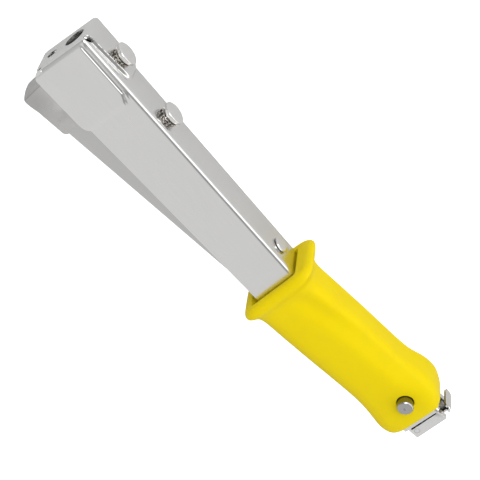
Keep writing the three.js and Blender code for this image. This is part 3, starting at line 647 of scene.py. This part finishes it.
def makeShell():
    h = housing
    bm = bmesh.new()
    block(bm, (0, -46, -h["headHalf"]), (310, 0, h["headHalf"]))
    # open the strike side and the rear end, so that five faces are left folded
    gone = [f for f in bm.faces if f.normal.y < -0.5 or f.normal.x > 0.5]
    bmesh.ops.delete(bm, geom=gone, context="FACES")
    folds = [e for e in bm.edges if len(e.link_faces) == 2]
    bevelEdges(bm, folds, h["fold"], h["foldSegments"])
    # a grid close enough at the head to press the sheet into
    along = [0.75 * i for i in range(4, 60)] + [47 + 9 * i for i in range(14)]
    along += [h["guardX"], h["bendX"], h["bendX"] + 1.5] + [185 + 15 * i for i in range(8)]
    down = [-0.3 * i for i in range(8, 27)] + [-9 - 2 * i for i in range(10)]
    down += [-29.5, -29.9, -32, -34]
    across = [0.62 * i for i in range(-17, 18)]
    for points, normal in ((along, (1, 0, 0)), (down, (0, 1, 0)), (across, (0, 0, 1))):
        for p in sorted(set(points)):
            cutAcross(bm, Vector(normal) * p, normal)
    # closer cuts along the web pad's slanting near border
    for i in range(-2, 8):
        centres = {f: f.calc_center_median() for f in bm.faces}
        near = [f for f, centre in centres.items() if centre.x < 40 and centre.y > -3]
        parts = dict.fromkeys(near + [part for f in near for part in (*f.verts, *f.edges)])
        bmesh.ops.bisect_plane(
            bm,
            geom=list(parts),
            dist=1e-4,
            plane_co=(0, 0, 10.45 - 0.16 * i),
            plane_no=(h["padLean"], 0, 1),
        )
    bm.normal_update()
    moves = []
    for v in bm.verts:
        x, y, z = v.co
        side = abs(v.normal.z)
        out = sidePress(x, y) * ease(0.6, 0.95, side) if x < 46 else 0
        lift = webPad(x, z) * ease(-9, -2.2, y) if x < 46 else 0
        scale = halfAt(x) / h["headHalf"]
        if y < -29.7 and abs(z) > h["headHalf"] - h["fold"] + 0.01 and x < h["fold"]:
            # below the slits the side lobes run on flat to the front
            turn = math.atan2(abs(z) - h["headHalf"] + h["fold"], h["fold"] - x)
            x = 0.2 + turn / (math.pi / 2) * (h["fold"] - 0.2)
            z = math.copysign(h["headHalf"], z)
        rise = webTop(x) if y > -20 else 0
        moves.append(Vector((x, y + lift + rise, z * scale + math.copysign(out, z))))
    for v, where in zip(bm.verts, moves):
        v.co = where
    bmesh.ops.recalc_face_normals(bm, faces=bm.faces)
    outward = sum(f.normal.y * f.calc_area() for f in bm.faces)
    if outward < 0:
        bmesh.ops.reverse_faces(bm, faces=bm.faces)
    piece = objectOf("housing", bm)
    wall = piece.modifiers.new("wall", "SOLIDIFY")
    wall.thickness = h["sheet"]
    wall.offset = -1
    wall.use_even_offset = False
    bake(piece)
    trim(piece, prism("outline", sideOutline(), -30, 30), "INTERSECT")
    cutter = bmesh.new()
    for radius, y, segments in h["frontHoles"]:
        rounds(cutter, radius, -3, 3.2, "x", (0, y, 0), segments)
    for x in h["studX"]:
        rounds(cutter, h["studHoleR"], -4, 5, "y", (x, 0, 0))
    rounds(cutter, h["rivetHoleR"], -4, 3, "y", (h["rivetX"], 0, 0))
    rounds(cutter, h["pinHoleR"], -30, 30, "z", h["pinHolePlace"])
    trim(piece, objectOf("holes", cutter))
    tabHalf = h["headHalf"] - h["tabInset"]
    cutter = bmesh.new()
    block(cutter, (-3, -50, -tabHalf), (2.6, -h["tabDepth"], tabHalf))
    trim(piece, objectOf("tabEnd", cutter))
    # the side lobes' front corners are rounded, and a slit parts each from the tab
    top, bottom = h["lobeTop"], -h["headDepth"]
    lobe = [(-3, top)] + curve((0.1, top), (0.2, bottom), (5.4, bottom))
    lobe += [(5.8, -40), (-3, -40)]
    for side in (-1, 1):
        ends = sorted((side * (tabHalf + 0.1), side * 30))
        trim(piece, prism("lobe", lobe, *ends))
    cutter = bmesh.new()
    for side in (-1, 1):
        ends = sorted((side * tabHalf, side * (h["headHalf"] - h["sheet"] - 0.02)))
        block(cutter, (-3, -50, ends[0]), (2.6, h["slitTop"], ends[1]))
    trim(piece, objectOf("reliefs", cutter))
    # a crescent opening where the pad rises beside the near corner
    cutter = bmesh.new()
    place = Vector(h["crescentPlace"])
    verts = rounds(cutter, 1.5, -2.2, 4, "y", place, 24)
    toPlace = Matrix.Translation(-place)
    bmesh.ops.scale(cutter, vec=(1.5, 1, 0.62), verts=verts, space=toPlace)
    turn = Matrix.Rotation(math.radians(38), 3, "Y")
    bmesh.ops.rotate(cutter, verts=verts, cent=place, matrix=turn)
    trim(piece, objectOf("crescent", cutter))
    bm = bmesh.new()
    bm.from_mesh(piece.data)
    bmesh.ops.remove_doubles(bm, verts=bm.verts, dist=1e-3)
    moveBy(bm, toRow)
    bpy.data.objects.remove(piece)
    shell = objectOf("housing_body", bm)
    settle(shell, "nickelPlate", "housing", ["housing_shell"], 38)


makeShell()
print("housing shell folded")

# ---- head screws with toothed washers, and the spring's rivet ----
stud = {
    "r": 6.55,
    "rise": 0.45,
    "thick": 2.3,
    "shankR": 2.7,
    "washerR": 5.5,
    "washerInner": 3.3,
    "teeth": 14,
    "toothTwist": 0.5,
}


def makeStud(word):
    low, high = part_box("head_screw_" + word)
    x = inTool((low + high) / 2)[0]
    top = inTool(high)[1] + stud["rise"]
    tip = inTool(low)[1]
    r, shank, under = stud["r"], stud["shankR"], top - stud["thick"]
    profile = [(0, tip), (2.0, tip), (shank, tip + 0.9), (shank, under), (r, under)]
    profile += [(r, top - 0.55), (r - 0.75, top - 0.05), (r - 1.3, top), (0, top - 0.12)]
    bm = moveBy(lathe(roundedProfile(profile, 0.28), "y", (x, 0, 0)), toRow)
    made = objectOf("stud_" + word, bm)
    settle(made, "brightNickel", "housing", ["head_screw_" + word], 40)


def makeWasher(word):
    # two flat rings with twisted teeth between them
    low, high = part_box("head_screw_" + word)
    x = inTool((low + high) / 2)[0]
    low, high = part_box("lock_washer_" + word)
    base = inTool(low)[1]
    top = inTool(high)[1] + stud["rise"] - 0.2
    inner, outer = stud["washerInner"], stud["washerR"]
    rings = bmesh.new()
    for reach, bottom, upper in ((outer - 1.2, base, base + 0.8), (outer - 0.5, top - 0.75, top)):
        outline = [(inner, bottom), (reach, bottom), (reach, upper), (inner, upper)]
        ring = lathe(outline + outline[:1], "y", (x, 0, 0), 48)
        mesh = bpy.data.meshes.new("ring")
        ring.to_mesh(mesh)
        ring.free()
        rings.from_mesh(mesh)
    twist = Matrix.Rotation(stud["toothTwist"], 3, "X")
    for i in range(stud["teeth"]):
        turn = Matrix.Rotation(2 * math.pi * i / stud["teeth"], 3, "Y")
        tooth = block(rings, (outer - 1.5, base + 0.25, -0.62), (outer, base + 1.05, 0.62))
        bmesh.ops.rotate(rings, verts=tooth, cent=(outer - 0.8, base + 0.7, 0), matrix=twist)
        bmesh.ops.rotate(rings, verts=tooth, cent=(0, 0, 0), matrix=turn)
        bmesh.ops.translate(rings, verts=tooth, vec=(x, 0, 0))
    bmesh.ops.recalc_face_normals(rings, faces=rings.faces)
    made = objectOf("washer_" + word, moveBy(rings, toRow))
    settle(made, "washerSteel", "housing", ["lock_washer_" + word])


for word in ("front", "rear"):
    makeStud(word)
    makeWasher(word)

rivet = {"r": 5.0, "rim": 1.0, "top": 2.2, "shankR": 2.0, "setR": 3.7}


def makeRivet():
    tip = inTool(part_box("spring_rivet")[0])[1]
    r, rim, shank, setR = rivet["r"], 0.3 + rivet["rim"], rivet["shankR"], rivet["setR"]
    profile = [(0, tip), (3.1, tip), (setR, tip + 1.3), (shank, tip + 1.4), (shank, 0.3)]
    profile += [(r - 0.3, 0.3), (r, rim), (r - 0.6, 1.65), (3.4, 1.9), (2.2, 2.1), (1.0, 2.18)]
    profile += [(0, rivet["top"])]
    bm = lathe(roundedProfile(profile, 0.25), "y", (housing["rivetX"], 0, 0))
    made = objectOf("dome_rivet", moveBy(bm, toRow))
    settle(made, "brightNickel", "housing", ["spring_rivet"], 50)


makeRivet()
print("studs and rivet set")

# ---- grip sleeve ----
grip = {
    "points": 72,
    "lean": 0.114,
    "clear": 0.4,
    "hollow": 2.15,
    "hollowWidth": 5.2,
    "pinHoleR": 5.15,
    "subdivide": 1,
    # place along, height above the web, depth below the lower edge, space beside the walls
    # and corner radius
    "stations": [
        (170.1, 7.2, 6.6, 3.7, 7),
        (170.3, 8.9, 8.6, 5.0, 8),
        (170.9, 10.3, 10.3, 6.2, 9),
        (172.2, 11.4, 12.1, 7.2, 9.5),
        (173.6, 11.7, 12.9, 7.7, 9.5),
        (175.2, 10.9, 12.7, 7.6, 9.5),
        (176.6, 8.9, 11.7, 6.5, 9.5),
        (178.2, 6.7, 10.3, 4.9, 9.5),
        (180.6, 5.2, 9.3, 3.7, 9),
        (184.0, 4.5, 8.9, 3.2, 9),
        (190.0, 4.7, 8.9, 3.0, 9),
        (200.0, 5.0, 8.8, 3.0, 9),
        (210.0, 5.2, 8.5, 3.0, 9),
        (221.0, 5.5, 8.2, 3.1, 9),
        (233.0, 5.5, 7.6, 3.2, 9),
        (245.0, 5.4, 7.2, 3.3, 9),
        (252.0, 5.5, 7.0, 3.3, 9),
        (259.0, 5.8, 7.1, 3.3, 9),
        (264.0, 6.9, 7.5, 3.3, 9),
        (270.0, 8.3, 8.3, 3.3, 9),
        (275.5, 8.4, 9.2, 3.3, 8.5),
        (280.0, 7.9, 9.8, 3.2, 8),
        (283.0, 6.8, 9.8, 3.1, 8),
        (285.6, 5.4, 9.2, 2.9, 7.5),
        (287.9, 4.3, 8.4, 2.5, 7),
        (289.5, 3.3, 6.9, 1.9, 7),
        (290.2, 2.0, 4.8, 1.2, 6),
    ],
}


def ringVerts(bm, x, top, bottom, half, radius):
    made = bmesh.ops.create_circle(bm, segments=grip["points"], radius=1.0)["verts"]
    middle, tall = (top + bottom) / 2, (top - bottom) / 2
    # an oval as square as a box with corners of this radius
    power = math.log(0.5) / math.log(1 - 0.293 * radius * 2 / (half + tall))
    for v in made:
        turn = math.atan2(tall * v.co.y, half * v.co.x)
        c, s = math.cos(turn), math.sin(turn)
        reach = (abs(c / half) ** power + abs(s / tall) ** power) ** (-1 / power)
        y = middle + reach * s
        v.co = Vector((x - grip["lean"] * y, y, reach * c))
    return made


def ringEdges(verts):
    inside = set(verts)
    edges = dict.fromkeys(e for v in verts for e in v.link_edges)
    return [e for e in edges if all(v in inside for v in e.verts)]


def makeGrip():
    bm = bmesh.new()
    rings = []
    for x, above, below, beside, radius in grip["stations"]:
        top, bottom = webTop(x) + above, lowerEdge(x) - below
        rings.append(ringVerts(bm, x, top, bottom, housing["guardHalf"] + beside, radius))
    # a long soft hollow down each side, under the thumb and fingers
    for ring in rings:
        for v in ring:
            x = v.co.x
            rise = 2.2 * math.sin(max(0, min(1, (x - 190) / 60)) * math.pi)
            line = -5.5 + (x - 183) * 0.215 + rise
            fade = ease(179, 190, x) * (1 - ease(258, 272, x))
            hollow = grip["hollow"] * bump(line, grip["hollowWidth"], v.co.y) * fade
            v.co.z -= math.copysign(hollow * ease(6, 12, abs(v.co.z)), v.co.z)
    # the inside, from the rear end back to the mouth, which widens round the housing
    inner = []
    first, last = grip["stations"][0][0], grip["stations"][-1][0]
    for x, *_ in reversed(grip["stations"]):
        x = x + 0.1 if x == last else x
        mouth = max(0, 1 - (x - first) / 4.5)
        room = max(0, 1 - (x - first) / 15) * 4.2
        rear = max(0, 1 - (290.1 - x) / 3)
        top = webTop(x) + grip["clear"] + mouth * 0.7 + rear * 0.9
        bottom = lowerEdge(x) - grip["clear"] - 0.3 - room - rear * 0.9
        half = housing["guardHalf"] + 0.35 + mouth * 0.9 + rear * 0.5
        inner.append(ringVerts(bm, x, top, bottom, half, 1.2))
    loop = rings + inner
    for a, b in zip(loop, loop[1:] + loop[:1]):
        bmesh.ops.bridge_loops(bm, edges=ringEdges(a) + ringEdges(b))
    bmesh.ops.recalc_face_normals(bm, faces=bm.faces)
    piece = objectOf("sleeve", bm)
    smooth = piece.modifiers.new("smooth", "SUBSURF")
    smooth.levels = smooth.render_levels = grip["subdivide"]
    bake(piece)
    cutter = bmesh.new()
    low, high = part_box("pivot_stub_near")
    centre = ((low + high) / 2 - toolOrigin) * 1000
    rounds(cutter, grip["pinHoleR"], -30, 30, "z", (centre.x, centre.y, 0), 64)
    trim(piece, objectOf("pinHoles", cutter))
    bm = bmesh.new()
    bm.from_mesh(piece.data)
    bpy.data.objects.remove(piece)
    sleeve = objectOf("grip", moveBy(bm, toRow))
    settle(sleeve, "yellowVinyl", "housing", ["grip_sleeve"], 55, False)


makeGrip()
print("grip moulded")

# ---- pivot stubs ----
pin = {"r": 4.6, "chamfer": 0.7, "innerR": 3.5, "innerReach": 3.1, "dimple": 1.0}


def makePin(word, side):
    low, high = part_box("pivot_stub_" + word)
    centre = ((low + high) / 2 - toolOrigin) * 1000
    start, end = inTool(low)[2], inTool(high)[2]
    if side < 0:
        start, end = end, start
    r, c, shoulder = pin["r"], pin["chamfer"], start + side * pin["innerReach"]
    profile = [(0, start), (pin["innerR"], start), (pin["innerR"], shoulder), (r, shoulder)]
    profile += [(r, end - side * c), (r - c, end), (pin["dimple"], end)]
    profile += [(0.6, end - side * 0.25), (0, end - side * 0.35)]
    bm = lathe(roundedProfile(profile, 0.2), "z", (centre.x, centre.y, 0))
    made = objectOf("pivot_pin_" + word, moveBy(bm, toRow))
    settle(made, "pinSteelPaintedShade", "housing", ["pivot_stub_" + word], 40)


for word, side in (("near", 1), ("far", -1)):
    makePin(word, side)
print("pivot pins set")

# ---- nose plate: thin sheet wrapped round the magazine's front ----
nose = {
    "reach": 269.6,
    "bulge": 2.8,
    "half": 11.1,
    "floor": -14.1,
    "top": 4.0,
    "length": 28.0,
    "sheet": 0.8,
    "fold": 0.9,
    "foldSegments": 4,
    "mouthHalf": 7.1,
}


def noseOutline():
    n = nose
    front = -n["reach"]
    low, rear = n["floor"], front + n["length"]
    points = [(front - 6, n["top"]), (front - 6, low + 1.8)]
    points += curve((front - 3.0, low + 2.2), (front - 1.6, low - 1.0), (front + 3.6, low - 0.8))
    points.append((front + 9, low))
    points += curve((rear - 3.2, low), (rear, low), (rear, low + 3.2))
    points.append((rear - 1.4, n["top"]))
    return points


def makeNose():
    n = nose
    bm = bmesh.new()
    front = -n["reach"]
    rear = front + n["length"] + 2
    block(bm, (front, n["floor"] - 1.0, -n["half"]), (rear, n["top"] + 2, n["half"]))
    gone = [f for f in bm.faces if f.normal.y > 0.5 or f.normal.x > 0.5]
    bmesh.ops.delete(bm, geom=gone, context="FACES")
    folds = [e for e in bm.edges if len(e.link_faces) == 2]
    bevelEdges(bm, folds, n["fold"], n["foldSegments"])
    for i in range(-12, 13):
        cutAcross(bm, (0, 0, 0.83 * i), (0, 0, 1))
    for v in bm.verts:
        share = 1 - (v.co.z / n["half"]) ** 2
        v.co.x -= n["bulge"] * max(0, share) * (1 - ease(front + 1.2, front + 4.5, v.co.x))
    bmesh.ops.recalc_face_normals(bm, faces=bm.faces)
    if sum(f.normal.x * f.calc_area() for f in bm.faces) > 0:
        bmesh.ops.reverse_faces(bm, faces=bm.faces)
    piece = objectOf("noseSheet", bm)
    wall = piece.modifiers.new("wall", "SOLIDIFY")
    wall.thickness = n["sheet"]
    wall.offset = -1
    bake(piece)
    trim(piece, prism("outline", noseOutline(), -30, 30), "INTERSECT")
    cutter = bmesh.new()
    half = n["mouthHalf"]
    block(cutter, (front + 0.6, -20, -half), (front + 6.0, n["floor"] + 3, half))
    trim(piece, objectOf("mouth", cutter))
    bm = bmesh.new()
    bm.from_mesh(piece.data)
    bpy.data.objects.remove(piece)
    bmesh.ops.remove_doubles(bm, verts=bm.verts, dist=1e-3)
    made = objectOf("nose", moveBy(bm, toMagazine))
    settle(made, "noseSteel", "magazine", ["nose_plate"])


makeNose()
print("nose folded")

# ---- the rest: CAD shapes with their edges eased ----
# each: body, finish, slot and the width of the eased edges
easedNodes = {
    "magazine_channel": ("magazine", "magazineSteel", "bare_steel", 0.45),
    "front_guide": ("magazine", "springSteel", "spring_steel", 0.12),
    "staple_track": ("magazine", "darkSteel", "dark_steel", 0.15),
    "staple_rail": ("rail", "plainSteel", "bare_steel", 0.15),
    "rod_bracket": ("rail", "plainSteel", "bare_steel", 0.12),
    "rod_anchor": ("rail", "plainSteel", "bare_steel", 0.12),
    "tail_cap": ("rail", "brightNickel", "nickel_plate", 0.3),
    "pusher": ("pusher", "springSteel", "spring_steel", 0.15),
    "latch_lever": ("latch", "brightNickel", "nickel_plate", 0.3),
    "driver_block": ("housing", "darkSteel", "dark_steel", 0.35),
    "driver_blade": ("housing", "springSteel", "spring_steel", 0.12),
    "blade_screw": ("housing", "plainSteel", "bare_steel", 0.12),
    "bumper_pad": ("housing", "blackRubber", "black_rubber", 0.35),
    "return_spring": (None, "springSteel", "spring_steel", 0.15),
    "pusher_spring": ("rail", "springSteel", "spring_steel", 0.0),
    "stop_block": ("housing", "darkSteel", "dark_steel", 0.3),
    "stop_rivet": ("housing", "plainSteel", "bare_steel", 0.15),
    "guide_rod": ("rail", "springSteel", "spring_steel", 0.15),
    "tail_rivet": ("rail", "plainSteel", "bare_steel", 0.15),
    "latch_pin": ("rail", "brightNickel", "bare_steel", 0.04),
    "tail_bush_near": ("rail", "plainSteel", "bare_steel", 0.12),
    "tail_bush_far": ("rail", "plainSteel", "bare_steel", 0.12),
}


easing = {
    "segments": 2,
    "angle": 40,
    "pinGap": 0.03,
    "pinWider": 1.17,
    "padRadius": 1.9,
    "padSegments": 6,
}


def evenPin(bm, node):
    # the pin's ends are ground flush with the cap's plates
    middle = toolOrigin.z * 1000
    reach = max(abs(v.co.z - middle) for v in bm.verts)
    plate = inTool(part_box("tail_cap")[1])[2]
    low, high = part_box(node)
    axle = (low + high) * 500
    for v in bm.verts:
        v.co.z = middle + (v.co.z - middle) * (plate - easing["pinGap"]) / max(reach, plate)
        v.co.x = axle.x + (v.co.x - axle.x) * easing["pinWider"]
        v.co.y = axle.y + (v.co.y - axle.y) * easing["pinWider"]


def roundPad(bm):
    # the thumb pad's ends are rounded
    ends = [
        e
        for e in bm.edges
        if all(abs(v.co.z - toolOrigin.z * 1000) > 7 for v in e.verts)
        and abs((e.verts[0].co - e.verts[1].co).normalized().z) < 0.3
        and 0.8 < e.calc_length() < 1.6
    ]
    bevelEdges(bm, ends, easing["padRadius"], easing["padSegments"])


def easedCopy(node, body, finish, slot, width):
    bm = bmesh.new()
    bm.from_mesh(frame["nodes"][node].data)
    bmesh.ops.scale(bm, vec=(1000, 1000, 1000), verts=bm.verts)
    bmesh.ops.remove_doubles(bm, verts=bm.verts, dist=2e-3)
    bmesh.ops.dissolve_limit(
        bm,
        angle_limit=math.radians(1.0),
        use_dissolve_boundaries=False,
        verts=bm.verts,
        edges=bm.edges,
    )
    if node == "latch_pin":
        evenPin(bm, node)
    if node == "latch_lever":
        roundPad(bm)
    if width:
        angle = math.radians(easing["angle"])
        pairs = [e for e in bm.edges if len(e.link_faces) == 2]
        sharp = [e for e in pairs if e.calc_face_angle(0) > angle]
        bevelEdges(bm, sharp, width, easing["segments"], clamp=True)
    bmesh.ops.triangulate(bm, faces=[f for f in bm.faces if len(f.verts) > 4])
    bmesh.ops.scale(bm, vec=(0.001, 0.001, 0.001), verts=bm.verts)
    return settle(objectOf(node + "_finished", bm), finish, body, [node], 40)


eased = {node: easedCopy(node, *values) for node, values in easedNodes.items()}

# the cap's plates are slit just behind the housing's end
capSlit = {"from": 19.4, "to": 21.0, "low": -13.9, "high": 4.6, "inner": 7, "outer": 12}
cutter = bmesh.new()
for ends in ((-capSlit["outer"], -capSlit["inner"]), (capSlit["inner"], capSlit["outer"])):
    corners = [(capSlit["from"], capSlit["low"]), (capSlit["to"], capSlit["high"])]
    block(cutter, (*corners[0], ends[0]), (*corners[1], ends[1]))
cap = trim(eased["tail_cap"], objectOf("slits", moveBy(cutter, toMagazine)))
cap.data.set_sharp_from_angle(angle=math.radians(40))

# the leaf spring bends between its rivet and the magazine it presses
leafCuts = 40
leaf = eased["return_spring"]
leafLow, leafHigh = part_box("return_spring")
leafMesh = bmesh.new()
leafMesh.from_mesh(leaf.data)
for i in range(1, leafCuts):
    x = leafLow.x + (leafHigh.x - leafLow.x) * i / leafCuts
    cutAcross(leafMesh, (x, 0, 0), (1, 0, 0), 1e-7)
leafMesh.to_mesh(leaf.data)
leafMesh.free()
leaf.data.set_sharp_from_angle(angle=math.radians(40))
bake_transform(leaf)

# the pusher's spring shortens along its rod
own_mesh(eased["pusher_spring"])

kept = frame["nodes"]["latch_spring"]
kept.data.materials.clear()
kept.data.materials.append(finishes["springSteel"])
print("inner pieces finished")

# ---- camera ----
view = {
    "place": (-0.29782, 0.31075, 0.6508),
    "right": (0.6155, 0.7812, -0.1045),
    "ahead": (0.3794, -0.4099, -0.8295),
    "lens": 105.7,
    "sensor": 36,
    "farthest": 20,
}
camera = bpy.data.objects.new("camera", bpy.data.cameras.new("camera"))
scene.collection.objects.link(camera)
camera.data.lens = view["lens"]
camera.data.sensor_width = view["sensor"]
camera.data.clip_end = view["farthest"]
ahead = Vector(view["ahead"]).normalized()
right = Vector(view["right"])
right = (right - ahead * right.dot(ahead)).normalized()
up = right.cross(ahead)
turn = Matrix((right, up, -ahead)).transposed()
camera.matrix_world = Matrix.Translation(view["place"]) @ turn.to_4x4()
scene.camera = camera

# ---- floor and light ----
studio = {
    "floorHalf": 3.0,
    "floorGap": 0.0005,
    "floorTone": 0.7,
    "floorFleck": 0.01,
    "floorRoughness": 0.9,
    "floorGlow": 0.9,
    "sky": 1.0,
    # pairs of place round the tool's length and brightness
    "skyStops": [
        (0.0, 0.8),
        (0.09, 1.0),
        (0.14, 1.8),
        (0.27, 1.8),
        (0.33, 0.4),
        (0.50, 0.3),
        (0.60, 0.74),
        (0.75, 0.78),
        (1.0, 0.85),
    ],
    "beyondHead": 0.6,
    "keyPlace": (-0.7, 0.75, 1.1),
    "keySize": (0.7, 0.7),
    "keyPower": 6.9,
}


def makeFloor():
    bm = bmesh.new()
    bmesh.ops.create_grid(bm, x_segments=4, y_segments=4, size=studio["floorHalf"])
    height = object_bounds()[0].z - studio["floorGap"]
    bmesh.ops.translate(bm, verts=bm.verts, vec=(0, 0, height))
    floor = objectOf("floor", bm)
    material, tree, paper = newMaterial("floorPaper")
    paper.inputs["Specular IOR Level"].default_value = 0.1
    fleck = noise(tree, objectPlace(tree), 6.0)
    tone = maths(tree, "MULTIPLY_ADD", fleck, studio["floorFleck"], studio["floorTone"])
    tree.links.new(tone, paper.inputs["Base Color"])
    paper.inputs["Roughness"].default_value = studio["floorRoughness"]
    # it glows where the camera sees it and lights nothing
    seen = addNode(tree, "ShaderNodeLightPath").outputs["Is Camera Ray"]
    glow = maths(tree, "MULTIPLY", seen, studio["floorGlow"])
    tree.links.new(glow, paper.inputs["Emission Color"])
    paper.inputs["Emission Strength"].default_value = 1.0
    floor.data.materials.append(material)


def makeSky():
    world = bpy.data.worlds.new("studio")
    scene.world = world
    world.use_nodes = True
    tree = world.node_tree
    back = tree.nodes["Background"]
    # brightness by the angle about the tool's length: a low bright side, a dark band overhead
    aim = addNode(tree, "ShaderNodeTexCoord").outputs["Generated"]
    parts = addNode(tree, "ShaderNodeSeparateXYZ", inputs={0: aim}).outputs
    angle = maths(tree, "ARCTAN2", parts["Z"], parts["Y"])
    light = ramp(tree, maths(tree, "MULTIPLY", angle, 1 / math.pi), studio["skyStops"])
    # and less light from beyond the head
    ahead = addNode(
        tree,
        "ShaderNodeMapRange",
        {"interpolation_type": "SMOOTHSTEP"},
        {
            "Value": parts["X"],
            "From Min": -0.9,
            "From Max": -0.3,
            "To Min": studio["beyondHead"],
            "To Max": 1.0,
        },
    ).outputs["Result"]
    tree.links.new(scaled(tree, light, ahead), back.inputs["Color"])
    back.inputs["Strength"].default_value = studio["sky"]


def softBox(name, place, size, power, aim=(0, 0, 0)):
    lamp = bpy.data.lights.new(name, "AREA")
    lamp.shape = "RECTANGLE"
    lamp.size, lamp.size_y = size
    lamp.energy = power
    made = bpy.data.objects.new(name, lamp)
    scene.collection.objects.link(made)
    made.location = place
    made.rotation_euler = (Vector(aim) - Vector(place)).to_track_quat("-Z", "Y").to_euler()


makeFloor()
makeSky()
softBox("keyLight", studio["keyPlace"], studio["keySize"], studio["keyPower"])
scene.view_settings.view_transform = "Standard"
scene.view_settings.look = "None"
print("studio lit")
